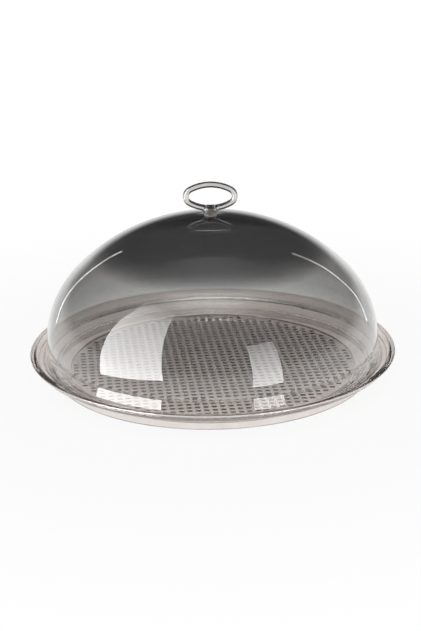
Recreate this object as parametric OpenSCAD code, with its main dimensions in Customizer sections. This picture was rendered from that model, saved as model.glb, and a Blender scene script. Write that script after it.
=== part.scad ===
// Clear dome cover with a ring handle, standing on its round tray with a loose drip plate.
// Millimetres, +Z up, origin on the table under the middle of the tray.

/* [Dome] */
// Diameter over the base edge of the dome
dome_d = 355; // [330:1:400]
// Height from the base edge of the dome to its crown
dome_h = 147.3; // [138:0.1:172]
// Radius of the shoulder arc, which runs into the larger arc of the crown
shoulder_r = 104; // [85:1:112]
// Wall of the dome
dome_wall = 3; // [2:0.1:4]
// Height of the flared band along the base edge
band_h = 15; // [8:0.5:20]
// How far the band flares out from its crease to the base edge
band_flare = 5; // [2:0.5:8]
// Diameter of the flat pad at the crown, inside and outside
pad_d = 18; // [17:0.5:26]
// How far the pad stands out of the crown
pad_rise = 0.3; // [0.3:0.1:1.5]
// How far the pad stands into the dome
pad_drop = 0.8; // [0.4:0.1:2]

/* [Handle] */
// Width over the ring
ring_w = 55.6; // [48:0.2:80]
// Height over the ring
ring_h = 30.6; // [27:0.2:45]
// Thickness of the round rod that forms the ring
rod_d = 6.2; // [5:0.1:8]
// Radius of the two ends of the ring, along the middle of the rod
end_r = 8; // [5:0.1:10]
// Diameter of the neck where it stands on the dome
neck_d = 12.8; // [11.6:0.2:17]
// Height of the neck up to the underside of the ring
neck_h = 3.6; // [3:0.1:10]
// How far the neck widens where it runs into the ring
neck_flare = 1.1; // [0.2:0.1:2]

/* [Fastening] */
// Diameter of the screw that holds the handle
screw_d = 5; // [4:0.5:5.5]
// Diameter of the head of the screw
head_d = 9.5; // [8.5:0.1:11]
// Height of the head of the screw
head_h = 2.7; // [2.2:0.1:4]
// Width across flats of the socket in the head
socket_w = 3; // [2:0.5:4]
// Depth of the socket in the head
socket_h = 1.5; // [1:0.1:1.8]
// Diameter of the threaded insert in the neck
insert_d = 7; // [6.8:0.1:7.6]
// Length of the threaded insert
insert_l = 6; // [4:0.5:6.5]
// Thickness of the soft gasket under the neck
gasket_t = 1; // [0.5:0.1:2]
// Diameter of the soft washer inside the dome
seal_d = 13; // [11:0.5:17]
// Thickness of the soft washer inside the dome
seal_t = 1; // [0.5:0.1:2]
// Diameter of the steel washer under the head
washer_d = 15; // [12:0.5:17]
// Thickness of the steel washer
washer_t = 1.2; // [0.8:0.1:2]

/* [Tray] */
// Height of the tray from the table to the top of its rim
tray_h = 24.8; // [21:0.1:34]
// Wall of the tray
tray_wall = 2.4; // [1.8:0.1:3.2]
// Width of the rim outside the ledge
rim_w = 9; // [8:0.5:14]
// How far the inner face of the rim leans outwards
rim_draft = 2.8; // [1:0.1:3]
// Radius of the outer edge of the rim
edge_r = 1.2; // [0.8:0.1:1.6]
// How far the lip under the rim lies in from the edge of the rim
lip_inset = 5.3; // [4:0.1:7]
// Width of the ledge that carries the dome
ledge_w = 8.5; // [7.5:0.5:12]
// Depth of the ledge below the top of the rim
ledge_drop = 7.3; // [5:0.1:9]
// Gap between the table and the floor of the tray
foot_h = 1.2; // [0.6:0.1:2]
// Width of the foot ring
foot_w = 2.5; // [2:0.1:3]
// How far the foot ring lies in from the ledge
foot_inset = 7.5; // [5:0.5:10]
// How far the floor reaches past the recess, under the wall
heel_w = 2; // [1:0.1:3]

/* [Drip plate] */
// How far the edge of the drip plate lies in from the base edge of the dome
plate_inset = 29; // [22:0.5:45]
// Thickness of the drip plate
plate_t = 2.5; // [1.5:0.1:4]

/* [Clearances] */
// Gap between the base edge of the dome and the rim of the tray
dome_gap = 3.5; // [1:0.1:5]
// Gap all round the drip plate in its recess
plate_gap = 0.7; // [0.4:0.1:1.5]
// Gap round the screw in the dome, the gasket and the washers
hole_gap = 0.25; // [0.1:0.05:0.4]
// Gap between the screw and the threads of the insert
thread_gap = 0.05; // [0.02:0.01:0.1]
// Bond line round the insert
bond_gap = 0.05; // [0.02:0.01:0.1]
// Gap over the tip of the screw
tip_gap = 0.5; // [0.3:0.1:1]

/* [Hidden] */
$fn = 120;

// Tray, from the dome and the plate that it carries
dome_r = dome_d / 2;
plate_r = dome_r - plate_inset;
ledge_out = dome_r + dome_gap;
ledge_in = ledge_out - ledge_w;
ledge_z = tray_h - ledge_drop;
rim_r = ledge_out + rim_w;
floor_z = foot_h + tray_wall;
recess_r = plate_r + plate_gap;
recess_z = floor_z + plate_t;
wall_slope = (ledge_z - recess_z) / (ledge_in - recess_r);
wall_t = tray_wall * sqrt(1 + wall_slope * wall_slope);
foot_r = ledge_in - foot_inset;
// The foot ring ends half way through the sloping wall
foot_top = recess_z + (foot_r - foot_w - recess_r) * wall_slope - wall_t / 2;

// Dome: a shoulder arc that springs upright from the crease, and a crown arc on the axis
crease_r = dome_r - band_flare;
crease_z = ledge_z + band_h;
crown_z = ledge_z + dome_h;
arch_h = dome_h - band_h;
shoulder_x = crease_r - shoulder_r;
crown_r = (shoulder_x * shoulder_x + arch_h * arch_h - shoulder_r * shoulder_r) / (2 * (arch_h - shoulder_r));
crown_centre_z = crown_z - crown_r;
arc_joint = atan2(crown_r - arch_h, shoulder_x);

// Stack at the crown, from the neck down to the head of the screw
pad_top = crown_z + pad_rise;
pad_bottom = crown_z - dome_wall - pad_drop;
neck_z = pad_top + gasket_t;
seal_z = pad_bottom - seal_t;
washer_z = seal_z - washer_t;
head_z = washer_z - head_h;
screw_tip = neck_z + insert_l - tip_gap;
hole_r = screw_d / 2 + hole_gap;

// Ring: two end arcs and two long arcs that share their tangents
mid_x = (ring_w - rod_d) / 2;
mid_z = (ring_h - rod_d) / 2;
end_x = mid_x - end_r;
long_r = (end_x * end_x + mid_z * mid_z - end_r * end_r) / (2 * (mid_z - end_r));
end_angle = atan2(long_r - mid_z, end_x);
ring_z = neck_z + neck_h + ring_h / 2;
// The end arcs are a hair thicker and run a little way over the long arcs, so all four join
lap_step = 0.06;
lap_l = 0.5;
lap_angle = lap_l / end_r * 180 / PI;
// The neck closes inside the rod, below the finger opening
close_share = 0.85;
close_inset = 0.3;
neck_top = neck_h + rod_d * close_share;
neck_tip_r = rod_d / 2 - close_inset;
// How far a cutter runs past the face that it cuts
over = 1;

// Half section of the dome's outline, drawn inwards by an offset
module arch_section(inset) {
    reach = 3 * crown_r;
    intersection() {
        translate([0, crease_z])
        square([crease_r, arch_h]);
        union() {
            translate([shoulder_x, crease_z])
            circle(shoulder_r - inset);
            intersection() {
                translate([0, crown_centre_z])
                circle(crown_r - inset);
                translate([0, crown_centre_z])
                polygon([
                    [0, 0],
                    [reach * cos(arc_joint), reach * sin(arc_joint)],
                    [0, reach],
                ]);
            }
        }
    }
}

// Half section of the space inside the band, or of the band with what it encloses
module band_section(inset) {
    polygon([
        [0, ledge_z],
        [dome_r - inset, ledge_z],
        [crease_r - inset, crease_z],
        [0, crease_z],
    ]);
}

// Cover: crown, shoulder and flared band in one wall, with a drilled pad at the crown
module dome_shell() {
    color([0.45, 0.46, 0.48, 0.5])
    rotate_extrude()
    difference() {
        union() {
            difference() {
                union() {
                    arch_section(0);
                    band_section(0);
                }
                arch_section(dome_wall);
                band_section(dome_wall);
            }
            translate([0, pad_bottom])
            square([pad_d / 2, pad_top - pad_bottom]);
        }
        translate([0, pad_bottom - over])
        square([hole_r, pad_top - pad_bottom + 2 * over]);
    }
}

// One arc of the ring's rod, about its own centre in the plane of the ring
module rod_arc(radius, from, sweep, thickness) {
    rotate([90, 0, 0])
    rotate([0, 0, from])
    rotate_extrude(angle = sweep)
    translate([radius, 0])
    circle(d = thickness);
}

// Finger ring on its short neck, bored for the insert
module handle_grip() {
    color([0.86, 0.88, 0.9, 0.5])
    difference() {
        union() {
            translate([0, 0, ring_z]) {
                for (side = [0, 180])
                    rotate([0, side, 0])
                    translate([end_x, 0, 0])
                    rod_arc(end_r, -end_angle - lap_angle, 2 * (end_angle + lap_angle), rod_d);
                for (side = [0, 180])
                    rotate([0, side, 0])
                    translate([0, 0, mid_z - long_r])
                    rod_arc(long_r, end_angle, 180 - 2 * end_angle, rod_d - 2 * lap_step);
            }
            translate([0, 0, neck_z])
            rotate_extrude()
            polygon([
                [0, 0],
                [neck_d / 2, 0],
                [neck_d / 2 + neck_flare, neck_h],
                [neck_tip_r, neck_top],
                [0, neck_top],
            ]);
        }
        translate([0, 0, neck_z - over])
        cylinder(d = insert_d + 2 * bond_gap, h = insert_l + over);
    }
}

// Plated sleeve that takes the thread of the screw
module thread_insert() {
    color([0.76, 0.75, 0.72])
    translate([0, 0, neck_z])
    difference() {
        cylinder(d = insert_d, h = insert_l);
        translate([0, 0, -over])
        cylinder(r = screw_d / 2 + thread_gap, h = insert_l + 2 * over);
    }
}

// Flat ring with a clearance hole for the screw
module ring_washer(diameter, thickness) {
    difference() {
        cylinder(d = diameter, h = thickness);
        translate([0, 0, -over])
        cylinder(r = hole_r, h = thickness + 2 * over);
    }
}

// Soft gasket between the neck and the crown
module neck_gasket() {
    color([0.9, 0.9, 0.9, 0.8])
    translate([0, 0, pad_top])
    ring_washer(neck_d, gasket_t);
}

// Soft washer inside the dome
module seal_washer() {
    color([0.9, 0.9, 0.9, 0.8])
    translate([0, 0, seal_z])
    ring_washer(seal_d, seal_t);
}

// Steel washer under the head
module head_washer() {
    color("silver")
    translate([0, 0, washer_z])
    ring_washer(washer_d, washer_t);
}

// Screw, driven from inside the dome
module handle_screw() {
    color("silver")
    difference() {
        union() {
            translate([0, 0, head_z])
            cylinder(d = head_d, h = head_h);
            translate([0, 0, head_z])
            cylinder(d = screw_d, h = screw_tip - head_z);
        }
        translate([0, 0, head_z - over])
        cylinder(d = socket_w / cos(30), h = socket_h + over, $fn = 6);
    }
}

// Tray: floor, sloping wall, ledge for the dome and rim in one wall, on a foot ring
module tray_body() {
    color([0.86, 0.85, 0.85, 0.6])
    union() {
        rotate_extrude()
        polygon([
            [0, foot_h],
            [0, floor_z],
            [recess_r, floor_z],
            [recess_r, recess_z],
            [ledge_in, ledge_z],
            [ledge_out, ledge_z],
            [ledge_out + rim_draft, tray_h],
            [rim_r - edge_r, tray_h],
            [rim_r - edge_r, tray_h - 2 * edge_r],
            [rim_r - lip_inset, ledge_z],
            [ledge_out, ledge_z - wall_t],
            [ledge_in, ledge_z - wall_t],
            [recess_r + heel_w, foot_h],
        ]);
        rotate_extrude()
        translate([rim_r - edge_r, tray_h - edge_r])
        circle(edge_r);
        rotate_extrude()
        translate([foot_r - foot_w, 0])
        square([foot_w, foot_top]);
    }
}

// Loose plate on the floor of the tray, which carries the food
module drip_plate() {
    color([0.9, 0.89, 0.89, 0.6])
    translate([0, 0, floor_z])
    cylinder(r = plate_r, h = plate_t);
}

tray_body();
drip_plate();
dome_shell();
neck_gasket();
handle_grip();
thread_insert();
seal_washer();
head_washer();
handle_screw();
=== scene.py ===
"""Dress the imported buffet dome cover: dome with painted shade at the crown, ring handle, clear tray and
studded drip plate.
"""

import logging
import math
from collections.abc import Sequence
from dataclasses import dataclass
from enum import Enum
from typing import Any

import bmesh
import bpy
import numpy as np
from bpy.types import ColorRamp, Material, Node, NodeSocket, NodeTree, Object
from mathutils import Matrix, Vector


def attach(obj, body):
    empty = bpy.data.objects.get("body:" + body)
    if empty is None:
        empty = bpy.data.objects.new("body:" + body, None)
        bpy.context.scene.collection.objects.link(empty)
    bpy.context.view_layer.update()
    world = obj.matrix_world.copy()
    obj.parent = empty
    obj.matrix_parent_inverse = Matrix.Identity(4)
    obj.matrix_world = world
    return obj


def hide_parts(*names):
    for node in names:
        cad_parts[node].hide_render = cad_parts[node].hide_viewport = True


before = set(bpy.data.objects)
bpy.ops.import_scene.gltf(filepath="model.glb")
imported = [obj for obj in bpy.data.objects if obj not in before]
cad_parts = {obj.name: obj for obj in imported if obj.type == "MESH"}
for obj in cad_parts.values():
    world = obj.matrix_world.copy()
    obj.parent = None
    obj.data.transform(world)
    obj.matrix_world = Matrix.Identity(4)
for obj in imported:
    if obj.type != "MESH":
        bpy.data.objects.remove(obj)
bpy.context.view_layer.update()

LOG = logging.getLogger("dome_cover")
MM = 0.001
# Faces round a large turned piece, and the largest turn between two points of a fillet
TURN_STEPS = 256
FILLET_STEP = math.radians(15)
# Distance in mm of the points that keep a face flat beside a fillet
HOLD = 0.3
# Angle from which an edge is drawn sharp, and how far large faces lead the smooth normals (1 to 100)
CREASE = math.radians(35)
FACE_LEAD = 80
# Distances in metres at which two points of a shell are one, and at which two shells join
SAME_POINT = 1e-7
SEAM = 2e-6
# Range that most of a noise texture takes up, and the ring spacing of a wave texture at scale 1
NOISE_SPAN = (0.3, 0.7)
WAVE_PERIOD = 0.314
# Share of a clear wall's thickness that tints the light that falls through it
LAMP_TINT = 0.15

# Point of an outline (radius, height), the same with its fillet, and a place in the room
Point = tuple[float, float]
Corner = tuple[float, float, float]
Place = tuple[float, float, float]
Sizes = dict[str, float | int]


class Body(Enum):
    """CAD bodies that the pieces ride on."""

    TRAY = "tray"
    PLATE = "plate"
    DOME = "dome"


class Slot(Enum):
    """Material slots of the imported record."""

    TRAY = "tray"
    PLATE = "plate"
    DOME = "dome"
    SILICONE = "silicone"
    HANDLE = "handle"
    INSERT = "insert"
    STEEL = "steel"


def linear(colour: str) -> tuple[float, float, float, float]:
    """Turn an sRGB hex colour into linear RGBA.

    Args:
        colour: Six hex digits after a hash sign.

    Returns:
        Linear red, green, blue and an alpha of 1.
    """
    parts = [int(colour[i : i + 2], 16) / 255 for i in (1, 3, 5)]
    parts = [c / 12.92 if c <= 0.04045 else ((c + 0.055) / 1.055) ** 2.4 for c in parts]
    return (parts[0], parts[1], parts[2], 1.0)


def add_node(tree: NodeTree, kind: str, inputs: dict[Any, Any] | None = None, **settings: Any) -> Node:
    """Add a node with its settings, values and links.

    Args:
        tree: Tree that takes the node.
        kind: Type name of the node.
        inputs: What each input takes, by name or index: a value, a socket, a node for its first
            output in use, or a list of these for an input that joins several.
        **settings: Attributes of the node, set before its inputs.

    Returns:
        The new node.
    """
    node = tree.nodes.new(kind)
    for name, value in settings.items():
        setattr(node, name, value)
    for key, given in (inputs or {}).items():
        for value in given if isinstance(given, list) else [given]:
            if isinstance(value, Node):
                value = next(socket for socket in value.outputs if socket.enabled)
            if isinstance(value, NodeSocket):
                tree.links.new(value, node.inputs[key])
            else:
                node.inputs[key].default_value = value
    return node


def new_tree(name: str) -> tuple[Material, NodeTree]:
    """Make an empty material.

    Args:
        name: Name of the real material.

    Returns:
        The material and its empty node tree.
    """
    material = bpy.data.materials.new(name)
    material.use_nodes = True
    material.node_tree.nodes.clear()
    return material, material.node_tree


def set_stops(ramp: ColorRamp, stops: Sequence[tuple[float, str]]) -> None:
    """Give a colour ramp its stops.

    Args:
        ramp: Ramp with its two first stops.
        stops: Place from 0 to 1 and hex colour of each stop.
    """
    while len(ramp.elements) < len(stops):
        ramp.elements.new(1.0)
    for element, (place, colour) in zip(ramp.elements, stops):
        element.position = place
        element.color = linear(colour)


def noise_between(tree: NodeTree, size_mm: float, low: float, high: float) -> Node:
    """Vary a value over a piece with noise of a real size.

    Args:
        tree: Tree that takes the nodes.
        size_mm: Width of a noise patch.
        low: Smallest value.
        high: Largest value.

    Returns:
        The node that gives the value.
    """
    place = add_node(tree, "ShaderNodeTexCoord").outputs["Object"]
    noise = add_node(
        tree, "ShaderNodeTexNoise", {"Vector": place, "Scale": 1 / (size_mm * MM), "Detail": 3.0}
    )
    span = {1: NOISE_SPAN[0], 2: NOISE_SPAN[1], 3: low, 4: high}
    return add_node(tree, "ShaderNodeMapRange", {"Value": noise, **span})


def shade_between(tree: NodeTree, size_mm: float, first: str, second: str) -> Node:
    """Vary a colour over a piece with noise of a real size.

    Args:
        tree: Tree that takes the nodes.
        size_mm: Width of a noise patch.
        first: Hex colour of one end.
        second: Hex colour of the other end.

    Returns:
        The node that gives the colour.
    """
    share = noise_between(tree, size_mm, 0.0, 1.0)
    return add_node(
        tree, "ShaderNodeMix", {"Factor": share, 6: linear(first), 7: linear(second)}, data_type="RGBA"
    )


def pass_lamps(tree: NodeTree, shader: Node, tint: Node) -> None:
    """Let light fall through a clear wall onto what is behind it, and close the tree.

    Args:
        tree: Tree of the material.
        shader: Shader that every other ray meets.
        tint: Colour of the wall.
    """
    path = add_node(tree, "ShaderNodeLightPath").outputs
    through = add_node(
        tree, "ShaderNodeMath", {0: path["Is Shadow Ray"], 1: path["Is Diffuse Ray"]}, operation="MAXIMUM"
    )
    faint = add_node(tree, "ShaderNodeGamma", {"Color": tint, "Gamma": LAMP_TINT})
    open_way = add_node(tree, "ShaderNodeBsdfTransparent", {"Color": faint})
    mixed = add_node(tree, "ShaderNodeMixShader", {0: through, 1: shader, 2: open_way})
    add_node(tree, "ShaderNodeOutputMaterial", {"Surface": mixed})


@dataclass(frozen=True)
class PaintedShadeAcrylic:
    """Cast acrylic, clear, with painted shade at the crown that fades to nothing at the base edge (mm)."""

    name: str = "acrylic_painted_shade"
    ior: float = 1.49
    low_z: float = 17.5
    high_z: float = 165.0
    patch: float = 22.0
    gloss: tuple[float, float] = (0.012, 0.04)
    # Painted shade by height: a grey that stands for dark surroundings seen through the clear wall, from the
    # base edge up to the crown
    stops: tuple[tuple[float, str], ...] = (
        (0.00, "#fcfcfc"),
        (0.07, "#f6f6f5"),
        (0.14, "#e6e6e5"),
        (0.22, "#d2d2d1"),
        (0.30, "#cbcbca"),
        (0.41, "#b6b6b5"),
        (0.52, "#b0b0af"),
        (0.60, "#b2b2b1"),
        (0.70, "#b4b4b3"),
        (0.74, "#8e8d8d"),
        (0.77, "#706f6f"),
        (0.81, "#5c5b5c"),
        (1.00, "#58585a"),
    )

    def build(self) -> Material:
        """Make the material.

        Returns:
            Clear wall with painted shade: a grey that stands for dark surroundings seen through it and
                deepens with height; polished, with faint wipe marks in its gloss.
        """
        material, tree = new_tree(self.name)
        place = add_node(tree, "ShaderNodeTexCoord").outputs["Object"]
        height = add_node(tree, "ShaderNodeSeparateXYZ", {"Vector": place}).outputs["Z"]
        share = add_node(
            tree, "ShaderNodeMapRange", {"Value": height, 1: self.low_z * MM, 2: self.high_z * MM}
        )
        # Painted shade: the wall's grey, taken from its height
        tint = add_node(tree, "ShaderNodeValToRGB", {"Fac": share})
        set_stops(tint.color_ramp, self.stops)
        shader = add_node(
            tree,
            "ShaderNodeBsdfPrincipled",
            {
                "Base Color": tint,
                "Roughness": noise_between(tree, self.patch, *self.gloss),
                "IOR": self.ior,
                "Transmission Weight": 1.0,
            },
        )
        pass_lamps(tree, shader, tint)
        return material


@dataclass(frozen=True)
class ClearPlastic:
    """Injection-moulded clear plastic with a slight warm grey cast."""

    name: str
    colour: str
    pale: str
    ior: float
    # Width of a patch of even gloss, with the roughness range
    patch_mm: float
    gloss: tuple[float, float]
    clarity: float = 1.0
    # Patches of even gloss across a patch of even colour
    cast_patches: float = 3.0

    def build(self) -> Material:
        """Make the material.

        Returns:
            Water-clear wall, glossy, a little uneven in gloss where the mould was polished.
        """
        material, tree = new_tree(self.name)
        colour = shade_between(tree, self.patch_mm * self.cast_patches, self.colour, self.pale)
        shader = add_node(
            tree,
            "ShaderNodeBsdfPrincipled",
            {
                "Base Color": colour,
                "Roughness": noise_between(tree, self.patch_mm, *self.gloss),
                "IOR": self.ior,
                "Transmission Weight": self.clarity,
            },
        )
        pass_lamps(tree, shader, colour)
        return material


@dataclass(frozen=True)
class SiliconeRubber:
    """Moulded food-grade silicone."""

    name: str = "silicone_rubber"
    dark: str = "#d3d4d3"
    light: str = "#e6e6e4"
    ior: float = 1.41
    clarity: float = 0.45
    mottle_mm: float = 1.2
    dust_mm: float = 0.8
    satin: tuple[float, float] = (0.42, 0.6)

    def build(self) -> Material:
        """Make the material.

        Returns:
            Milky, satin rubber that lets some light through, with a fine dusty mottle.
        """
        material, tree = new_tree(self.name)
        shader = add_node(
            tree,
            "ShaderNodeBsdfPrincipled",
            {
                "Base Color": shade_between(tree, self.mottle_mm, self.dark, self.light),
                "Roughness": noise_between(tree, self.dust_mm, *self.satin),
                "IOR": self.ior,
                "Transmission Weight": self.clarity,
            },
        )
        add_node(tree, "ShaderNodeOutputMaterial", {"Surface": shader})
        return material


@dataclass(frozen=True)
class TurnedMetal:
    """Metal turned on a lathe about the upright axis."""

    name: str
    dark: str
    light: str
    gloss: tuple[float, float]
    # Real tool marks are about a fifth of this; drawn coarser so that they show
    mark_mm: float = 0.5
    mark_depth_mm: float = 0.02
    mark_strength: float = 0.25
    wander: float = 0.4
    cloud_mm: float = 2.5
    wear_mm: float = 1.5

    def build(self) -> Material:
        """Make the material.

        Returns:
            Metal with ring-shaped tool marks that break up its highlights.
        """
        material, tree = new_tree(self.name)
        place = add_node(tree, "ShaderNodeTexCoord").outputs["Object"]
        rings = add_node(
            tree,
            "ShaderNodeTexWave",
            {"Vector": place, "Scale": WAVE_PERIOD / (self.mark_mm * MM), "Distortion": self.wander},
            wave_type="RINGS",
            rings_direction="Z",
        )
        bump = add_node(
            tree,
            "ShaderNodeBump",
            {
                "Height": rings.outputs["Fac"],
                "Strength": self.mark_strength,
                "Distance": self.mark_depth_mm * MM,
            },
        )
        shader = add_node(
            tree,
            "ShaderNodeBsdfPrincipled",
            {
                "Base Color": shade_between(tree, self.cloud_mm, self.dark, self.light),
                "Metallic": 1.0,
                "Roughness": noise_between(tree, self.wear_mm, *self.gloss),
                "Normal": bump,
            },
        )
        add_node(tree, "ShaderNodeOutputMaterial", {"Surface": shader})
        return material


def filleted(corners: Sequence[Corner]) -> list[Point]:
    """Round the corners of a closed outline.

    Args:
        corners: Radius, height and fillet radius of each corner in order, in mm.

    Returns:
        Outline points in mm, with holding points beside each fillet.
    """
    # Largest share of an edge that a fillet takes, how many times a cut with its hold fits in an edge
    # that gets holding points, and the angle from which a corner is straight
    longest_cut, least_flat, straight = 0.48, 2.2, math.pi - 1e-4
    points: list[Point] = []
    count = len(corners)
    for i, (x, z, radius) in enumerate(corners):
        here = np.array((x, z))
        back = np.array(corners[i - 1][:2]) - here
        ahead = np.array(corners[(i + 1) % count][:2]) - here
        back_l, ahead_l = np.linalg.norm(back), np.linalg.norm(ahead)
        u, v = back / back_l, ahead / ahead_l
        angle = math.acos(max(-1.0, min(1.0, float(u @ v))))
        if radius <= 0 or angle > straight:
            points.append((x, z))
            continue
        cut = min(radius / math.tan(angle / 2), longest_cut * back_l, longest_cut * ahead_l)
        radius = cut * math.tan(angle / 2)
        middle = here + (u + v) / np.linalg.norm(u + v) * radius / math.sin(angle / 2)
        start, end = here + u * cut - middle, here + v * cut - middle
        a0 = math.atan2(start[1], start[0])
        sweep = (math.atan2(end[1], end[0]) - a0 + math.pi) % math.tau - math.pi
        steps = max(2, math.ceil(abs(sweep) / FILLET_STEP))
        if back_l > least_flat * (cut + HOLD):
            points.append(tuple(here + u * (cut + HOLD)))
        for k in range(steps + 1):
            a = a0 + sweep * k / steps
            points.append((middle[0] + radius * math.cos(a), middle[1] + radius * math.sin(a)))
        if ahead_l > least_flat * (cut + HOLD):
            points.append(tuple(here + v * (cut + HOLD)))
    return points


def arc(centre: Point, radius: float, start: float, end: float, step: float = 1.5) -> list[Corner]:
    """Sample an arc of an outline, without its two ends.

    Args:
        centre: Centre of the arc, in mm.
        radius: Radius of the arc, in mm.
        start: First angle, in degrees.
        end: Last angle, in degrees.
        step: Largest angle between two points, in degrees.

    Returns:
        Plain corners along the arc.
    """
    count = max(2, math.ceil(abs(end - start) / step))
    angles = [math.radians(start + (end - start) * k / count) for k in range(1, count)]
    return [(centre[0] + radius * math.cos(a), centre[1] + radius * math.sin(a), 0.0) for a in angles]


def mesh_object(
    name: str,
    points: np.ndarray,
    faces: Sequence[Sequence[int]],
    material: Material | None = None,
) -> Object:
    """Make a smooth mesh object with outward faces.

    Args:
        name: Name of the object.
        points: Vertices in metres.
        faces: Vertex numbers of each face.
        material: Finish of the object, if it has one yet.

    Returns:
        The object, linked to the scene.
    """
    mesh = bpy.data.meshes.new(name)
    mesh.from_pydata([tuple(p) for p in points], [], [tuple(f) for f in faces])
    work = bmesh.new()
    work.from_mesh(mesh)
    bmesh.ops.remove_doubles(work, verts=work.verts, dist=SAME_POINT)
    bmesh.ops.recalc_face_normals(work, faces=work.faces)
    work.to_mesh(mesh)
    work.free()
    mesh.shade_smooth()
    if material is not None:
        mesh.materials.append(material)
    obj = bpy.data.objects.new(name, mesh)
    bpy.context.scene.collection.objects.link(obj)
    return obj


def revolve(
    name: str,
    outline: Sequence[Point],
    material: Material | None = None,
    steps: int = TURN_STEPS,
    closed: bool = True,
) -> Object:
    """Turn a half section about the upright axis.

    Args:
        name: Name of the object.
        outline: Radius and height of each point, in mm.
        material: Finish of the object, if it has one yet.
        steps: Faces round the axis.
        closed: Whether the last point joins the first.

    Returns:
        The turned object.
    """
    angles = np.arange(steps) * math.tau / steps
    rows: list[list[int]] = []
    points: list[tuple[float, float, float]] = []
    for r, z in outline:
        if r == 0:
            rows.append([len(points)] * steps)
            points.append((0.0, 0.0, z * MM))
        else:
            rows.append(list(range(len(points), len(points) + steps)))
            points += [(r * MM * math.cos(a), r * MM * math.sin(a), z * MM) for a in angles]
    faces = []
    for row, after in zip(rows, rows[1:] + rows[:1] if closed else rows[1:]):
        if row[0] == row[1] and after[0] == after[1]:
            continue
        for k in range(steps):
            n = (k + 1) % steps
            faces.append(list(dict.fromkeys((row[k], row[n], after[n], after[k]))))
    return mesh_object(name, np.array(points), faces, material)


def band_faces(rows: int, steps: int, closed: bool = False) -> list[tuple[int, ...]]:
    """Join rings of points by four-sided faces.

    Args:
        rows: Number of rings, one after the other.
        steps: Points of each ring.
        closed: Whether the last ring joins the first.

    Returns:
        Point numbers of each face.
    """
    faces: list[tuple[int, ...]] = []
    for i in range(rows if closed else rows - 1):
        row, after = i * steps, (i + 1) % rows * steps
        for k in range(steps):
            n = (k + 1) % steps
            faces.append((row + k, row + n, after + n, after + k))
    return faces


def settle(obj: Object) -> Object:
    """Turn an object's modifiers into a plain mesh.

    Args:
        obj: Object with live modifiers.

    Returns:
        The same object with the result as its mesh.
    """
    graph = bpy.context.evaluated_depsgraph_get()
    made = bpy.data.meshes.new_from_object(obj.evaluated_get(graph))
    obj.modifiers.clear()
    obj.data = made
    return obj


def bore(obj: Object, cutter: Object) -> Object:
    """Cut one object out of another and drop the cutter.

    Args:
        obj: Object that is cut.
        cutter: Closed shape to remove.

    Returns:
        The cut object.
    """
    cut = obj.modifiers.new("bore", "BOOLEAN")
    cut.object = cutter
    cut.operation = "DIFFERENCE"
    cut.solver = "EXACT"
    settle(obj)
    bpy.data.objects.remove(cutter)
    return obj


def geometry_tree(name: str, sizes: Sizes) -> NodeTree:
    """Start a geometry tree with a named input for each size.

    Args:
        name: Name of the tree.
        sizes: Name and value of each input; a whole number makes a whole-number input.

    Returns:
        The tree with its interface and no nodes.
    """
    tree = bpy.data.node_groups.new(name, "GeometryNodeTree")
    tree.interface.new_socket("Geometry", in_out="INPUT", socket_type="NodeSocketGeometry")
    for label, value in sizes.items():
        kind = "NodeSocketInt" if isinstance(value, int) else "NodeSocketFloat"
        tree.interface.new_socket(label, in_out="INPUT", socket_type=kind)
    tree.interface.new_socket("Geometry", in_out="OUTPUT", socket_type="NodeSocketGeometry")
    return tree


def grow(obj: Object, tree: NodeTree, sizes: Sizes) -> Object:
    """Run a geometry tree on an object and keep the result as a plain mesh.

    Args:
        obj: Object that the tree starts from.
        tree: Finished geometry tree.
        sizes: Value of each named input.

    Returns:
        The same object with the result as its mesh.
    """
    modifier = obj.modifiers.new(tree.name, "NODES")
    modifier.node_group = tree
    for item in tree.interface.items_tree:
        if item.in_out == "INPUT" and item.name in sizes:
            modifier[item.identifier] = sizes[item.name]
    return settle(obj)


def fit(obj: Object, body: Body, slot: Slot, *nodes: str) -> Object:
    """Let a piece stand for its CAD nodes and move with their body.

    Args:
        obj: Finished piece.
        body: Body that carries it.
        slot: Material slot of the record; not used.
        *nodes: CAD nodes that the piece replaces.

    Returns:
        The piece.
    """
    even = obj.modifiers.new("even_normals", "WEIGHTED_NORMAL")
    even.keep_sharp = True
    even.weight = FACE_LEAD
    settle(obj)
    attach(obj, body.value)
    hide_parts(*nodes)
    LOG.info("%s: %d faces, rides on %s", obj.name, len(obj.data.polygons), body.value)
    return obj


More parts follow.
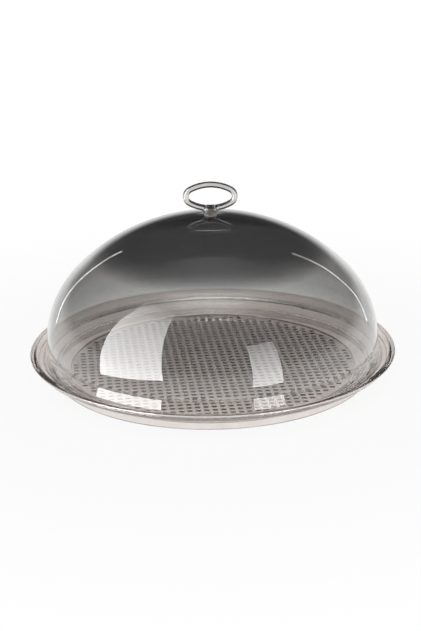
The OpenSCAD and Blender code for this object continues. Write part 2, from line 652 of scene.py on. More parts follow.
@dataclass
class Tray:
    """Round clear tray: floor, sloping wall, ledge for the dome, rim and foot ring (mm)."""

    recess_r: float = 149.2
    floor_z: float = 3.6
    recess_z: float = 6.1
    ledge_in: float = 172.5
    ledge_out: float = 181.0
    ledge_z: float = 17.5
    rim_in: float = 183.8
    rim_r: float = 190.0
    rim_z: float = 24.8
    edge_d: float = 2.4
    edge_w: float = 1.6
    lip_r: float = 184.7
    under_z: float = 14.83
    heel_r: float = 151.2
    foot_z: float = 1.2
    foot_out: float = 165.0
    foot_in: float = 162.5
    # Fillets, from the recess out over the rim and back below to the heel
    recess_fillet: float = 0.4
    step_fillet: float = 0.7
    ledge_in_fillet: float = 1.4
    ledge_out_fillet: float = 1.3
    rim_in_fillet: float = 1.3
    rim_fillet: float = 1.2
    edge_fillet: float = 0.4
    lip_fillet: float = 1.0
    under_fillet: float = 1.5
    root_fillet: float = 0.8
    foot_fillet: float = 0.7
    heel_fillet: float = 1.6

    def under_wall(self, r: float) -> float:
        """Height of the underside of the sloping wall at a radius."""
        share = (r - self.heel_r) / (self.ledge_in - self.heel_r)
        return self.foot_z + share * (self.under_z - self.foot_z)

    def build(self, finish: ClearPlastic) -> Object:
        """Make the tray.

        Args:
            finish: Plastic of the tray.

        Returns:
            The finished piece.
        """
        low_edge = self.rim_z - self.edge_d
        corners = [
            (0.0, self.foot_z, 0.0),
            (0.0, self.floor_z, 0.0),
            (self.recess_r, self.floor_z, self.recess_fillet),
            (self.recess_r, self.recess_z, self.step_fillet),
            (self.ledge_in, self.ledge_z, self.ledge_in_fillet),
            (self.ledge_out, self.ledge_z, self.ledge_out_fillet),
            (self.rim_in, self.rim_z, self.rim_in_fillet),
            (self.rim_r, self.rim_z, self.rim_fillet),
            (self.rim_r, low_edge, self.rim_fillet),
            (self.rim_r - self.edge_w, low_edge, self.edge_fillet),
            (self.lip_r, self.ledge_z, self.lip_fillet),
            (self.ledge_out, self.under_z, self.under_fillet),
            (self.ledge_in, self.under_z, self.under_fillet),
            (self.foot_out, self.under_wall(self.foot_out), self.root_fillet),
            (self.foot_out, 0.0, self.foot_fillet),
            (self.foot_in, 0.0, self.foot_fillet),
            (self.foot_in, self.under_wall(self.foot_in), self.root_fillet),
            (self.heel_r, self.foot_z, self.heel_fillet),
        ]
        piece = revolve("tray_dish", filleted(corners), finish.build())
        return fit(piece, Body.TRAY, Slot.TRAY, "tray_body")


@dataclass
class DripPlate:
    """Loose plate on the floor of the tray, with rows of raised round studs (mm)."""

    radius: float = 148.5
    low_z: float = 3.64
    sheet: float = 1.4
    pitch: float = 8.2
    stud_r: float = 2.85
    stud_h: float = 1.06
    lip: float = 0.35
    border: float = 0.8
    turn_deg: float = 6.3
    stud_steps: int = 16
    cap_rows: int = 4
    rim_steps: int = 256
    # Share of the lip that the middle of its bevel stands back
    lip_share: float = 0.3

    def sizes(self) -> Sizes:
        """Work out the inputs of the tree.

        Returns:
            Sizes in metres, an angle in radians and counts.
        """
        rows = 2 * (math.ceil(self.radius / self.pitch) + 1)
        return {
            "Top Radius": (self.radius - self.lip) * MM,
            "Top Height": (self.low_z + self.sheet) * MM,
            "Rows": rows,
            "Field Width": (rows - 1) * self.pitch * MM,
            "Field Radius": (self.radius - self.lip - self.border - self.stud_r) * MM,
            "Turn": math.radians(self.turn_deg),
            "Stud Radius": self.stud_r * MM,
            "Stud Flatness": self.stud_h / self.stud_r,
            "Stud Steps": self.stud_steps,
            "Cap Rings": 2 * self.cap_rows,
            "Rim Steps": self.rim_steps,
        }

    def shell(self) -> Object:
        """Turn the base and the bevelled edge of the plate, open at the top.

        Returns:
            The shell that the studded top closes.
        """
        low, high = self.low_z, self.low_z + self.sheet
        part = self.lip * self.lip_share
        outline = [
            (0.0, low),
            (self.radius - self.lip, low),
            (self.radius - part, low + part),
            (self.radius, low + self.lip),
            (self.radius, high - self.lip),
            (self.radius - part, high - part),
            (self.radius - self.lip, high),
        ]
        return revolve("studded_plate", outline, steps=self.rim_steps, closed=False)

    def tree(self, material: Material) -> NodeTree:
        """Build the tree that lays out the studs and closes the shell round them.

        Args:
            material: Finish of the plate.

        Returns:
            Geometry tree with named inputs.
        """
        tree = geometry_tree("studded_plate", self.sizes())
        given = add_node(tree, "NodeGroupInput").outputs
        lattice = add_node(
            tree,
            "GeometryNodeMeshGrid",
            {
                "Size X": given["Field Width"],
                "Size Y": given["Field Width"],
                "Vertices X": given["Rows"],
                "Vertices Y": given["Rows"],
            },
        )
        place = add_node(tree, "GeometryNodeInputPosition")
        away = add_node(tree, "ShaderNodeVectorMath", {0: place}, operation="LENGTH")
        outside = add_node(
            tree,
            "ShaderNodeMath",
            {0: away.outputs["Value"], 1: given["Field Radius"]},
            operation="GREATER_THAN",
        )
        field = add_node(
            tree,
            "GeometryNodeDeleteGeometry",
            {"Geometry": lattice, "Selection": outside},
            domain="POINT",
        )
        turn = add_node(tree, "ShaderNodeCombineXYZ", {"Z": given["Turn"]})
        spots = add_node(tree, "GeometryNodeTransform", {"Geometry": field, "Rotation": turn})
        foot = add_node(
            tree,
            "GeometryNodeCurvePrimitiveCircle",
            {"Resolution": given["Stud Steps"], "Radius": given["Stud Radius"]},
        )
        ball = add_node(
            tree,
            "GeometryNodeMeshUVSphere",
            {
                "Segments": given["Stud Steps"],
                "Rings": given["Cap Rings"],
                "Radius": given["Stud Radius"],
            },
        )
        depth = add_node(tree, "ShaderNodeSeparateXYZ", {"Vector": place}).outputs["Z"]
        below = add_node(tree, "ShaderNodeMath", {0: depth, 1: -SEAM}, operation="LESS_THAN")
        half = add_node(
            tree, "GeometryNodeDeleteGeometry", {"Geometry": ball, "Selection": below}, domain="POINT"
        )
        flat = add_node(tree, "ShaderNodeCombineXYZ", {"X": 1.0, "Y": 1.0, "Z": given["Stud Flatness"]})
        cap = add_node(tree, "GeometryNodeTransform", {"Geometry": half, "Scale": flat})
        placed = [
            add_node(tree, "GeometryNodeInstanceOnPoints", {"Points": spots, "Instance": shape})
            for shape in (foot, cap)
        ]
        feet, caps = [
            add_node(tree, "GeometryNodeRealizeInstances", {"Geometry": copies}) for copies in placed
        ]
        outline = add_node(
            tree,
            "GeometryNodeCurvePrimitiveCircle",
            {"Resolution": given["Rim Steps"], "Radius": given["Top Radius"]},
        )
        pierced = add_node(tree, "GeometryNodeJoinGeometry", {"Geometry": [feet, outline]})
        sheet = add_node(tree, "GeometryNodeFillCurve", {"Curve": pierced})
        top = add_node(tree, "GeometryNodeJoinGeometry", {"Geometry": [sheet, caps]})
        rise = add_node(tree, "ShaderNodeCombineXYZ", {"Z": given["Top Height"]})
        raised = add_node(tree, "GeometryNodeTransform", {"Geometry": top, "Translation": rise})
        both = add_node(tree, "GeometryNodeJoinGeometry", {"Geometry": [raised, given["Geometry"]]})
        whole = add_node(tree, "GeometryNodeMergeByDistance", {"Geometry": both, "Distance": SEAM})
        solid = add_node(tree, "GeometryNodeRealizeInstances", {"Geometry": whole})
        dressed = add_node(tree, "GeometryNodeSetMaterial", {"Geometry": solid, "Material": material})
        add_node(tree, "NodeGroupOutput", {"Geometry": dressed})
        return tree

    def build(self, finish: ClearPlastic) -> Object:
        """Make the studded plate.

        Args:
            finish: Plastic of the plate.

        Returns:
            The finished piece.
        """
        material = finish.build()
        piece = grow(self.shell(), self.tree(material), self.sizes())
        work = bmesh.new()
        work.from_mesh(piece.data)
        bmesh.ops.recalc_face_normals(work, faces=work.faces)
        loose = sum(not edge.is_manifold for edge in work.edges)
        work.to_mesh(piece.data)
        work.free()
        LOG.info("studded_plate: %d open edges", loose)
        piece.data.materials.clear()
        piece.data.materials.append(material)
        piece.data.shade_smooth()
        piece.data.set_sharp_from_angle(angle=CREASE)
        return fit(piece, Body.PLATE, Slot.PLATE, "drip_plate")


@dataclass
class Dome:
    """Cover: flared band, shoulder arc, crown arc and drilled pad in one wall (mm)."""

    base_r: float = 177.5
    base_z: float = 17.56
    wall: float = 3.0
    crease_r: float = 172.5
    crease_z: float = 32.5
    crease_round: float = 8.0
    shoulder_r: float = 104.0
    crown_z: float = 164.8
    pad_r: float = 9.0
    pad_top: float = 165.1
    pad_bottom: float = 161.0
    pad_run_out: float = 0.6
    pad_run_in: float = 0.8
    hole_r: float = 2.75
    base_in_fillet: float = 0.9
    base_out_fillet: float = 1.1
    pad_fillet: float = 0.5
    hole_fillet: float = 0.25
    # Degrees that the crown arc starts below its joint with the shoulder, which evens the first step
    arc_step: float = 0.7

    def wall_arcs(self, inset: float, pad_edge: float) -> list[Corner]:
        """Sample the shoulder and the crown from the crease up to the pad.

        Args:
            inset: How far the surface lies inside the outer one.
            pad_edge: Radius at which the crown meets the pad.

        Returns:
            Plain corners along both arcs.
        """
        shoulder_x = self.crease_r - self.shoulder_r
        rise = self.crown_z - self.crease_z
        crown_r = (shoulder_x**2 + rise**2 - self.shoulder_r**2) / (2 * (rise - self.shoulder_r))
        crown_c = self.crown_z - crown_r
        joint = math.degrees(math.atan2(crown_r - rise, shoulder_x))
        top = math.degrees(math.acos(pad_edge / (crown_r - inset)))
        return [
            *arc((shoulder_x, self.crease_z), self.shoulder_r - inset, 0.0, joint),
            *arc((0.0, crown_c), crown_r - inset, joint - self.arc_step, top),
        ]

    def build(self, finish: PaintedShadeAcrylic) -> Object:
        """Make the dome.

        Args:
            finish: Plastic of the dome, greyed towards the crown by painted shade.

        Returns:
            The finished piece.
        """
        corners = [
            (self.base_r - self.wall, self.base_z, self.base_in_fillet),
            (self.base_r, self.base_z, self.base_out_fillet),
            (self.crease_r, self.crease_z, self.crease_round),
            *self.wall_arcs(0.0, self.pad_r + self.pad_run_out),
            (self.pad_r, self.pad_top, self.pad_fillet),
            (self.hole_r, self.pad_top, self.hole_fillet),
            (self.hole_r, self.pad_bottom, self.hole_fillet),
            (self.pad_r, self.pad_bottom, self.pad_fillet),
            *reversed(self.wall_arcs(self.wall, self.pad_r + self.pad_run_in)),
            (self.crease_r - self.wall, self.crease_z, self.crease_round),
        ]
        piece = revolve("dome_cover", filleted(corners), finish.build())
        return fit(piece, Body.DOME, Slot.DOME, "dome_shell")


@dataclass
class RingHandle:
    """Clear oval finger ring that runs into a short round neck (mm)."""

    ring_z: float = 185.0
    end_x: float = 16.7
    end_r: float = 8.0
    half_h: float = 12.2
    rod_r: float = 3.1
    neck_z: float = 166.1
    neck: tuple[Point, ...] = ((6.4, 166.1), (6.55, 167.6), (7.5, 169.7), (2.8, 174.97))
    round_r: float = 0.5
    blend: float = 2.4
    bore_r: float = 3.55
    bore_top: float = 172.1
    bore_run: float = 1.0
    voxel: float = 0.4
    end_steps: int = 10
    side_steps: int = 14
    rod_steps: int = 16
    neck_steps: int = 48
    bore_steps: int = 64
    # Rounds that even out the mesh, their strength, and how often each sets it back on the surface
    rounds: int = 14
    evening: float = 0.5
    snaps: int = 2
    # Smallest squared slope that a step back divides by, and the distance over which slopes are taken
    least_slope: float = 0.25
    probe: float = 0.01
    crease_deg: float = 40.0

    def long_r(self) -> float:
        """Radius of the two long arcs of the ring."""
        return (self.end_x**2 + self.half_h**2 - self.end_r**2) / (2 * (self.half_h - self.end_r))

    def rod_gap(self, p: np.ndarray) -> np.ndarray:
        """Distance from the surface of the ring's rod.

        Args:
            p: Points in mm.

        Returns:
            Signed distance of each point.
        """
        x, z = np.abs(p[:, 0]), np.abs(p[:, 2] - self.ring_z)
        long_r = self.long_r()
        drop = long_r - self.half_h
        at_end = np.arctan2(z, x - self.end_x) < math.atan2(drop, self.end_x)
        end = np.abs(np.hypot(x - self.end_x, z) - self.end_r)
        side = np.abs(np.hypot(x, z + drop) - long_r)
        return np.hypot(np.where(at_end, end, side), p[:, 1]) - self.rod_r

    def neck_gap(self, p: np.ndarray) -> np.ndarray:
        """Distance from the surface of the neck.

        Args:
            p: Points in mm.

        Returns:
            Signed distance of each point.
        """
        outline = [(-r, z) for r, z in self.neck[::-1]] + list(self.neck)
        spot = np.stack([np.hypot(p[:, 0], p[:, 1]), p[:, 2]], axis=1)
        best = np.full(len(p), np.inf)
        inside = np.zeros(len(p), bool)
        for a, b in zip(outline, outline[1:] + outline[:1]):
            a, b = np.array(a), np.array(b)
            edge = b - a
            t = np.clip(((spot - a) @ edge) / (edge @ edge), 0, 1)
            best = np.minimum(best, np.linalg.norm(spot - a - t[:, None] * edge, axis=1))
            if a[1] != b[1]:
                level = (spot[:, 1] >= min(a[1], b[1])) & (spot[:, 1] < max(a[1], b[1]))
                at = a[0] + (spot[:, 1] - a[1]) / (b[1] - a[1]) * edge[0]
                inside ^= level & (spot[:, 0] < at)
        return np.where(inside, -best, best)

    def gap(self, p: np.ndarray) -> np.ndarray:
        """Distance from the surface of the whole handle, with a soft run of the neck into the rod.

        Args:
            p: Points in mm.

        Returns:
            Signed distance of each point.
        """
        a, b = self.rod_gap(p), self.neck_gap(p)
        h = np.maximum(self.blend - np.abs(a - b), 0) / self.blend
        d = np.minimum(a, b) - h * h * self.blend / 4
        floor = self.neck_z - p[:, 2]
        h = np.maximum(self.round_r - np.abs(d - floor), 0) / self.round_r
        return np.maximum(d, floor) + h * h * self.round_r / 4

    def slope(self, p: np.ndarray) -> np.ndarray:
        """Direction in which the distance grows.

        Args:
            p: Points in mm.

        Returns:
            Gradient of the distance at each point.
        """
        shifts = np.eye(3) * self.probe
        return np.stack([(self.gap(p + s) - self.gap(p - s)) / (2 * self.probe) for s in shifts], axis=1)

    def middle_line(self) -> np.ndarray:
        """Trace the middle of the ring's rod.

        Returns:
            Closed line: distance across and height from the middle of the ring, in mm.
        """
        long_r = self.long_r()
        drop = long_r - self.half_h
        turn = math.atan2(drop, self.end_x)
        quarter = [
            (self.end_x + self.end_r * math.cos(a), self.end_r * math.sin(a))
            for a in np.linspace(0, turn, self.end_steps)
        ]
        quarter += [
            (long_r * math.cos(a), long_r * math.sin(a) - drop)
            for a in np.linspace(turn, math.pi / 2, self.side_steps)[1:]
        ]
        half = quarter + [(-x, z) for x, z in quarter[-2::-1]]
        return np.array(half + [(x, -z) for x, z in half[-2:0:-1]])

    def rough_shape(self) -> Object:
        """Make the ring's tube and the neck as overlapping shapes, and join them by voxels.

        Returns:
            Closed mesh near the final surface.
        """
        path = self.middle_line()
        along = np.roll(path, -1, axis=0) - np.roll(path, 1, axis=0)
        along /= np.linalg.norm(along, axis=1)[:, None]
        across = np.stack([along[:, 1], -along[:, 0]], axis=1)
        points = []
        for (x, z), (nx, nz) in zip(path, across):
            for a in np.arange(self.rod_steps) * math.tau / self.rod_steps:
                r = self.rod_r * math.cos(a)
                points.append((x + nx * r, self.rod_r * math.sin(a), self.ring_z + z + nz * r))
        faces = band_faces(len(path), self.rod_steps, closed=True)
        tube = mesh_object("ring_handle", np.array(points) * MM, faces)
        outline = [(0.0, self.neck[0][1]), *self.neck, (0.0, self.neck[-1][1])]
        stub = revolve("neck_stub", outline, steps=self.neck_steps)
        work = bmesh.new()
        work.from_mesh(tube.data)
        work.from_mesh(stub.data)
        work.to_mesh(tube.data)
        work.free()
        bpy.data.objects.remove(stub)
        remesh = tube.modifiers.new("voxels", "REMESH")
        remesh.mode = "VOXEL"
        remesh.voxel_size = self.voxel * MM
        return settle(tube)

    def build(self, finish: ClearPlastic) -> Object:
        """Make the handle.

        Args:
            finish: Plastic of the handle.

        Returns:
            The finished piece.
        """
        piece = self.rough_shape()
        mesh = piece.data
        points = np.zeros(len(mesh.vertices) * 3, np.float32)
        mesh.vertices.foreach_get("co", points)
        points = points.reshape(-1, 3).astype(float) / MM
        ends = np.zeros(len(mesh.edges) * 2, np.int32)
        mesh.edges.foreach_get("vertices", ends)
        ends = ends.reshape(-1, 2)
        degree = np.bincount(ends.ravel(), minlength=len(points))[:, None]
        for _ in range(self.rounds):
            total = np.zeros_like(points)
            np.add.at(total, ends[:, 0], points[ends[:, 1]])
            np.add.at(total, ends[:, 1], points[ends[:, 0]])
            points += self.evening * (total / degree - points)
            for _ in range(self.snaps):
                slope = self.slope(points)
                size = np.maximum((slope * slope).sum(1), self.least_slope)
                points -= (self.gap(points) / size)[:, None] * slope
        mesh.vertices.foreach_set("co", (points * MM).astype(np.float32).ravel())
        mesh.update()
        start = self.neck_z - self.bore_run
        hole = [(0.0, start), (self.bore_r, start), (self.bore_r, self.bore_top), (0.0, self.bore_top)]
        bore(piece, revolve("bore_cutter", hole, steps=self.bore_steps))
        piece.data.materials.clear()
        piece.data.materials.append(finish.build())
        piece.data.shade_smooth()
        piece.data.set_sharp_from_angle(angle=math.radians(self.crease_deg))
        return fit(piece, Body.DOME, Slot.HANDLE, "handle_grip")


@dataclass
class Fastening:
    """Screw, insert, gasket and washers that hold the handle on the crown (mm)."""

    screw_r: float = 2.5
    head_r: float = 4.75
    head_z: float = 156.1
    head_top: float = 158.8
    head_round: float = 0.9
    head_bevel: float = 0.25
    tip_z: float = 171.6
    tip_h: float = 0.7
    tip_d: float = 0.5
    thread_z: float = 160.5
    pitch: float = 0.8
    thread_d: float = 0.4
    thread_row: float = 0.1
    socket_w: float = 3.0
    socket_h: float = 1.5
    socket_cone: float = 0.4
    socket_run: float = 1.0
    hole_r: float = 2.75
    gasket_z: tuple[float, float] = (165.1, 166.1)
    gasket_r: float = 6.4
    seal_z: tuple[float, float] = (160.0, 161.0)
    seal_r: float = 6.5
    soft_edge: float = 0.3
    washer_z: tuple[float, float] = (158.8, 160.0)
    washer_r: float = 7.5
    hard_edge: float = 0.25
    insert_z: tuple[float, float] = (166.1, 172.1)
    insert_r: float = 3.5
    insert_bore: float = 2.55
    collar_h: float = 0.6
    collar_run: float = 0.1
    lead_h: float = 0.5
    lead_d: float = 0.3
    insert_fillet: float = 0.1
    bore_fillet: float = 0.15
    knurl_d: float = 0.2
    rib_r: float = 0.32
    rib_inset: float = 0.8
    rib_sides: int = 4
    ribs: int = 28
    head_rows: int = 7
    screw_steps: int = 48
    ring_steps: int = 96

    def washer(
        self,
        name: str,
        radius: float,
        span: tuple[float, float],
        edge: float,
        material: Material,
    ) -> Object:
        """Make a flat ring with rounded edges.

        Args:
            name: Name of the piece.
            radius: Outer radius.
            span: Lower and upper height.
            edge: Radius of its edges.
            material: Finish.

        Returns:
            The ring, not yet fitted.
        """
        low, high = span
        corners = [
            (self.hole_r, low, edge),
            (radius, low, edge),
            (radius, high, edge),
            (self.hole_r, high, edge),
        ]
        return revolve(name, filleted(corners), material, self.ring_steps)

    def screw(self, material: Material) -> Object:
        """Make the socket screw with its rolled thread.

        Args:
            material: Finish.

        Returns:
            The screw, not yet fitted.
        """
        steps, bulge = self.screw_steps, self.head_round
        rows = [(0.0, self.head_z)]
        rows += [
            (self.head_r - bulge + bulge * math.sin(a), self.head_z + bulge - bulge * math.cos(a))
            for a in np.linspace(0, math.pi / 2, self.head_rows)
        ]
        rows += [
            (self.head_r, self.head_top - self.head_bevel),
            (self.head_r - self.head_bevel, self.head_top),
            (self.screw_r, self.head_top),
            (self.screw_r, self.thread_z),
        ]
        angles = np.arange(steps) * math.tau / steps
        points = [(r * math.cos(a), r * math.sin(a), z) for r, z in rows for a in angles]
        for z in np.arange(self.thread_z + self.thread_row, self.tip_z + 1e-6, self.thread_row):
            run_in = min(1.0, (z - self.thread_z) / self.pitch)
            point = max(0.0, (z - self.tip_z + self.tip_h) / self.tip_h) * self.tip_d
            for a in angles:
                phase = (z / self.pitch - a / math.tau) % 1.0
                groove = self.thread_d * run_in * (1 - abs(2 * phase - 1))
                r = self.screw_r - max(groove, point)
                points.append((r * math.cos(a), r * math.sin(a), z))
        rings, tip = len(points) // steps, len(points)
        points.append((0.0, 0.0, self.tip_z))
        faces = band_faces(rings, steps)
        faces += [(tip - steps + k, tip - steps + (k + 1) % steps, tip) for k in range(steps)]
        piece = mesh_object("socket_screw", np.array(points) * MM, faces, material)
        # Corner radius of a hexagon from its width across flats
        corner_r = self.socket_w / math.sqrt(3)
        start, depth = self.head_z - self.socket_run, self.head_z + self.socket_h
        key = [(0.0, start), (corner_r, start), (corner_r, depth), (0.0, depth + self.socket_cone)]
        bore(piece, revolve("socket_cutter", key, steps=6))
        piece.data.set_sharp_from_angle(angle=CREASE)
        return piece

    def knurl_sizes(self) -> Sizes:
        """Work out the inputs of the tree.

        Returns:
            Sizes in metres and a count.
        """
        low, high = self.insert_z
        return {
            "Ribs": self.ribs,
            "Ring Radius": (self.insert_r - self.knurl_d) * MM,
            "Rib Radius": self.rib_r * MM,
            "Length": (high - low - 2 * self.rib_inset) * MM,
            "Height": (low + high) / 2 * MM,
        }

    def knurl_tree(self, material: Material) -> NodeTree:
        """Build the tree that sets upright ribs round the insert.

        Args:
            material: Finish of the insert.

        Returns:
            Geometry tree with named inputs.
        """
        tree = geometry_tree("knurl_ribs", self.knurl_sizes())
        given = add_node(tree, "NodeGroupInput").outputs
        circle = add_node(
            tree, "GeometryNodeMeshCircle", {"Vertices": given["Ribs"], "Radius": given["Ring Radius"]}
        )
        rib = add_node(
            tree,
            "GeometryNodeMeshCylinder",
            {"Vertices": self.rib_sides, "Radius": given["Rib Radius"], "Depth": given["Length"]},
        )
        place = add_node(tree, "GeometryNodeInputPosition")
        aim = add_node(
            tree, "FunctionNodeAlignRotationToVector", {"Vector": place}, axis="X", pivot_axis="Z"
        )
        placed = add_node(
            tree, "GeometryNodeInstanceOnPoints", {"Points": circle, "Instance": rib, "Rotation": aim}
        )
        lift = add_node(tree, "ShaderNodeCombineXYZ", {"Z": given["Height"]})
        raised = add_node(tree, "GeometryNodeTransform", {"Geometry": placed, "Translation": lift})
        both = add_node(tree, "GeometryNodeJoinGeometry", {"Geometry": [raised, given["Geometry"]]})
        solid = add_node(tree, "GeometryNodeRealizeInstances", {"Geometry": both})
        dressed = add_node(tree, "GeometryNodeSetMaterial", {"Geometry": solid, "Material": material})
        add_node(tree, "NodeGroupOutput", {"Geometry": dressed})
        return tree

    def insert(self, material: Material) -> Object:
        """Make the knurled sleeve.

        Args:
            material: Finish.

        Returns:
            The sleeve, not yet fitted.
        """
        low, high = self.insert_z
        body_r = self.insert_r - self.knurl_d
        collar = low + self.collar_h
        corners = [
            (self.insert_bore, low, self.bore_fillet),
            (self.insert_r, low, self.insert_fillet),
            (self.insert_r, collar, self.insert_fillet),
            (body_r, collar + self.collar_run, 0.0),
            (body_r, high - self.lead_h, 0.0),
            (body_r - self.lead_d, high, self.insert_fillet),
            (self.insert_bore, high, self.bore_fillet),
        ]
        piece = revolve("knurled_insert", filleted(corners), material, self.ring_steps)
        grow(piece, self.knurl_tree(material), self.knurl_sizes())
        piece.data.set_sharp_from_angle(angle=CREASE)
        return piece

    def build(self, rubber: SiliconeRubber, steel: TurnedMetal, plated: TurnedMetal) -> list[Object]:
        """Make the five fastening pieces.

        Args:
            rubber: Finish of the gasket and the seal.
            steel: Finish of the washer and the screw.
            plated: Finish of the insert.

        Returns:
            The finished pieces.
        """
        soft, hard = rubber.build(), steel.build()
        gasket = self.washer("gasket_ring", self.gasket_r, self.gasket_z, self.soft_edge, soft)
        seal = self.washer("seal_ring", self.seal_r, self.seal_z, self.soft_edge, soft)
        washer = self.washer("steel_washer", self.washer_r, self.washer_z, self.hard_edge, hard)
        return [
            fit(gasket, Body.DOME, Slot.SILICONE, "neck_gasket"),
            fit(seal, Body.DOME, Slot.SILICONE, "seal_washer"),
            fit(washer, Body.DOME, Slot.STEEL, "head_washer"),
            fit(self.screw(hard), Body.DOME, Slot.STEEL, "handle_screw"),
            fit(self.insert(plated.build()), Body.DOME, Slot.INSERT, "thread_insert"),
        ]


@dataclass(frozen=True)
class Softbox:
    """Flat lamp between two points, facing the axis of the object.

    Each point is the middle of an edge: azimuth from the camera's side to its right in degrees,
    distance from the axis and height in metres. Radiance is the brightness of the lower edge, where
    1 is white, and fade is the share of it at the upper edge. Feather is the share of the width over
    which each side dims to nothing. A mirrored lamp gives highlights alone, and any other lights the
    object without being mirrored in it.
    """

    name: str
    low: Place
    high: Place
    width: float
    radiance: float
    fade: float = 1.0
    feather: float = 0.001
    mirrored: bool = True
    aim_z: float = 0.1
    # Power of a square metre at a radiance of 1
    power: float = 4.0

    def shade(self, tree: NodeTree) -> None:
        """Dim the lamp towards its upper edge and its sides.

        Args:
            tree: Tree of the lamp.
        """
        tree.nodes.clear()
        spot = add_node(tree, "ShaderNodeNewGeometry").outputs["Parametric"]
        spread = add_node(tree, "ShaderNodeSeparateXYZ", {"Vector": spot}).outputs
        upward = add_node(tree, "ShaderNodeMapRange", {"Value": spread["Y"], 3: 1.0, 4: self.fade})
        edge = add_node(tree, "ShaderNodeMath", {0: spread["X"], 1: 0.5}, operation="PINGPONG")
        inward = add_node(
            tree, "ShaderNodeMapRange", {"Value": edge, 2: self.feather}, interpolation_type="SMOOTHSTEP"
        )
        share = add_node(tree, "ShaderNodeMath", {0: upward, 1: inward}, operation="MULTIPLY")
        light = add_node(tree, "ShaderNodeEmission", {"Strength": share})
        add_node(tree, "ShaderNodeOutputLight", {"Surface": light})

    def build(self) -> Object:
        """Set up the lamp.

        Returns:
            The lamp, linked to the scene.
        """
        ends = []
        for azimuth, away, height in (self.low, self.high):
            a = math.radians(azimuth)
            ends.append(Vector((away * math.sin(a), -away * math.cos(a), height)))
        up = ends[1] - ends[0]
        middle = (ends[0] + ends[1]) / 2
        lamp = bpy.data.lights.new(self.name, "AREA")
        lamp.shape = "RECTANGLE"
        lamp.size, lamp.size_y = self.width, up.length
        lamp.energy = self.radiance * self.power * self.width * up.length
        lamp.use_nodes = True
        self.shade(lamp.node_tree)
        side = up.cross(middle - Vector((0.0, 0.0, self.aim_z))).normalized()
        back = side.cross(up).normalized()
        obj = bpy.data.objects.new(self.name, lamp)
        turn = Matrix((side, up.normalized(), back)).transposed().to_4x4()
        obj.matrix_world = Matrix.Translation(middle) @ turn
        obj.visible_camera = False
        obj.visible_glossy = self.mirrored
        obj.visible_diffuse = obj.visible_transmission = not self.mirrored
        bpy.context.scene.collection.objects.link(obj)
        return obj


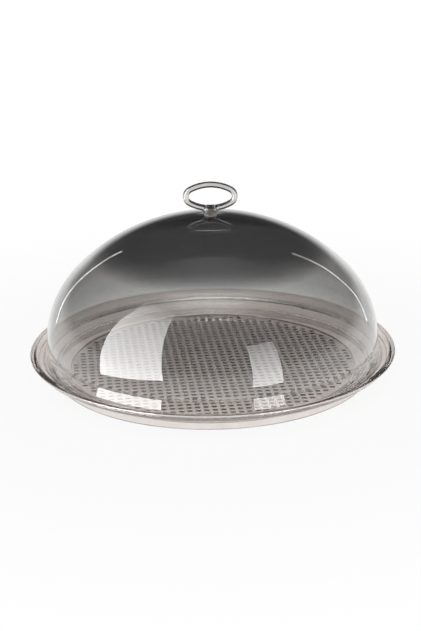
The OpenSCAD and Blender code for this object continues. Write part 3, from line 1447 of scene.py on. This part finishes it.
@dataclass
class Studio:
    """White sweep, overhead box, softboxes for the highlights and camera."""

    floor_half: float = 40.0
    paper: str = "#f6f6f5"
    # White that the floor adds near the object and away from it, and where that changes
    floor_glow: tuple[float, float] = (0.86, 1.0)
    glow_reach: tuple[float, float] = (0.2, 0.6)
    aim: Place = (0.0, 0.0, 0.024)
    distance: float = 1.6
    elevation_deg: float = 20.65
    roll_deg: float = -0.9
    lens: float = 87.1
    sensor: float = 36.0
    sight: float = 200.0
    shift: Point = (-0.0033, 0.0472)
    clear_bounces: int = 24
    glossy_bounces: int = 8
    sky: tuple[tuple[float, str], ...] = (
        (0.00, "#fefefe"),
        (0.04, "#e0e0e0"),
        (0.16, "#585858"),
        (0.35, "#3c3c3c"),
        (1.00, "#383838"),
    )
    lamps: tuple[Softbox, ...] = (
        Softbox("left_box", (-45, 0.4, 0.02), (-60.4, 0.415, 0.75), width=0.28, radiance=12.0, fade=0.02),
        Softbox("right_box", (28.5, 0.4, 0.005), (28.5, 0.4, 0.25), width=0.115, radiance=8.0, fade=0.3),
        Softbox(
            "top_box",
            (0, 0.6, 1.6),
            (180, 0.6, 1.6),
            width=2.0,
            radiance=5.4,
            fade=0.7,
            feather=0.5,
            mirrored=False,
        ),
        Softbox("left_strip", (-124.1, 0.6, 0.016), (-143.1, 0.6, 0.42), width=0.005, radiance=9.0),
        Softbox("right_strip", (120.5, 0.6, 0.02), (137.5, 0.6, 0.552), width=0.005, radiance=9.0),
    )

    def floor(self) -> Object:
        """Lay the white floor, which keeps the shadow of the object.

        Returns:
            The floor, marked as stage.
        """
        half = self.floor_half
        corners = [(-half, -half, 0), (half, -half, 0), (half, half, 0), (-half, half, 0)]
        mesh = bpy.data.meshes.new("sweep")
        mesh.from_pydata(corners, [], [(0, 1, 2, 3)])
        plane = bpy.data.objects.new("sweep", mesh)
        bpy.context.scene.collection.objects.link(plane)
        material, tree = new_tree("white_sweep")
        path = add_node(tree, "ShaderNodeLightPath").outputs
        seen = add_node(
            tree,
            "ShaderNodeMath",
            {0: path["Is Camera Ray"], 1: path["Is Glossy Ray"]},
            operation="MAXIMUM",
        )
        place = add_node(tree, "ShaderNodeTexCoord").outputs["Object"]
        away = add_node(tree, "ShaderNodeVectorMath", {0: place}, operation="LENGTH")
        near, far = self.glow_reach
        part, whole = self.floor_glow
        white = add_node(
            tree,
            "ShaderNodeMapRange",
            {"Value": away.outputs["Value"], 1: near, 2: far, 3: part, 4: whole},
            interpolation_type="SMOOTHSTEP",
        )
        share = add_node(tree, "ShaderNodeMath", {0: seen, 1: white}, operation="MULTIPLY")
        share = add_node(
            tree, "ShaderNodeMath", {0: share, 1: path["Is Transmission Ray"]}, operation="MAXIMUM"
        )
        paper = add_node(tree, "ShaderNodeBsdfDiffuse", {"Color": linear(self.paper)})
        glow = add_node(tree, "ShaderNodeEmission", {"Color": linear("#ffffff"), "Strength": 1.0})
        mixed = add_node(tree, "ShaderNodeMixShader", {0: share, 1: paper, 2: glow})
        add_node(tree, "ShaderNodeOutputMaterial", {"Surface": mixed})
        mesh.materials.append(material)
        return plane

    def world(self) -> None:
        """Light the room: white along the horizon, dim overhead."""
        world = bpy.data.worlds.new("studio")
        bpy.context.scene.world = world
        world.use_nodes = True
        tree = world.node_tree
        tree.nodes.clear()
        place = add_node(tree, "ShaderNodeTexCoord").outputs["Generated"]
        height = add_node(tree, "ShaderNodeSeparateXYZ", {"Vector": place}).outputs["Z"]
        shade = add_node(tree, "ShaderNodeValToRGB", {"Fac": height})
        set_stops(shade.color_ramp, self.sky)
        glow = add_node(tree, "ShaderNodeBackground", {"Color": shade})
        add_node(tree, "ShaderNodeOutputWorld", {"Surface": glow})

    def camera(self) -> Object:
        """Set the camera at the photograph's viewing angle.

        Returns:
            The camera.
        """
        data = bpy.data.cameras.new("camera")
        data.lens = self.lens
        data.sensor_width = self.sensor
        data.shift_x, data.shift_y = self.shift
        data.clip_end = self.sight
        camera = bpy.data.objects.new("camera", data)
        e = math.radians(self.elevation_deg)
        back = Vector((0.0, -math.cos(e), math.sin(e)))
        spin = Matrix.Rotation(math.radians(self.roll_deg), 4, "Z")
        facing = (-back).to_track_quat("-Z", "Y").to_matrix().to_4x4()
        place = Matrix.Translation(Vector(self.aim) + back * self.distance)
        camera.matrix_world = place @ facing @ spin
        bpy.context.scene.collection.objects.link(camera)
        bpy.context.scene.camera = camera
        return camera

    def build(self) -> None:
        """Set up the camera, the floor, the room and the lamps."""
        self.camera()
        self.floor()
        self.world()
        for lamp in self.lamps:
            lamp.build()
        scene = bpy.context.scene
        scene.view_settings.view_transform = "Standard"
        scene.cycles.max_bounces = self.clear_bounces
        scene.cycles.transmission_bounces = self.clear_bounces
        scene.cycles.transparent_max_bounces = self.clear_bounces
        scene.cycles.glossy_bounces = self.glossy_bounces


def main() -> None:
    """Build the studio and every piece in order."""
    logging.basicConfig(level=logging.INFO, format="%(name)s: %(message)s")
    Studio().build()
    # Moulded SAN: clear, with a warm grey cast that gathers in the edges
    tray = ClearPlastic(
        "clear_san", "#e0d7d2", "#e8e0db", ior=1.57, patch_mm=9.0, gloss=(0.015, 0.05), clarity=0.985
    )
    # Moulded polycarbonate: nearly colourless, each stud a small bright lens
    plate = ClearPlastic(
        "clear_polycarbonate", "#fcf9f7", "#fffdfc", ior=1.58, patch_mm=6.0, gloss=(0.01, 0.03), clarity=0.96
    )
    # Moulded acrylic: clear, greyed by painted shade that stands for dark surroundings seen through it, with
    # dark outlines where the round rod bends the light
    handle = ClearPlastic(
        "clear_acrylic", "#c2bebd", "#d2cfcd", ior=1.49, patch_mm=3.0, gloss=(0.005, 0.02)
    )
    # Turned stainless steel: neutral grey, its highlights broken up by ring marks
    steel = TurnedMetal("turned_stainless_steel", "#b9bab9", "#d3d3d1", gloss=(0.18, 0.3))
    # Nickel plate on turned brass: brighter and a little warmer than the steel
    plated = TurnedMetal("nickel_plated_brass", "#b9b6ae", "#d6d4cd", gloss=(0.14, 0.28))
    Tray().build(tray)
    DripPlate().build(plate)
    # Cast acrylic: clear, greyed at the crown by painted shade that fades towards the base, with sharp
    # reflections
    Dome().build(PaintedShadeAcrylic())
    RingHandle().build(handle)
    # Moulded silicone: milky and satin, for the two soft rings
    Fastening().build(SiliconeRubber(), steel, plated)


if __name__ == "__main__":
    main()
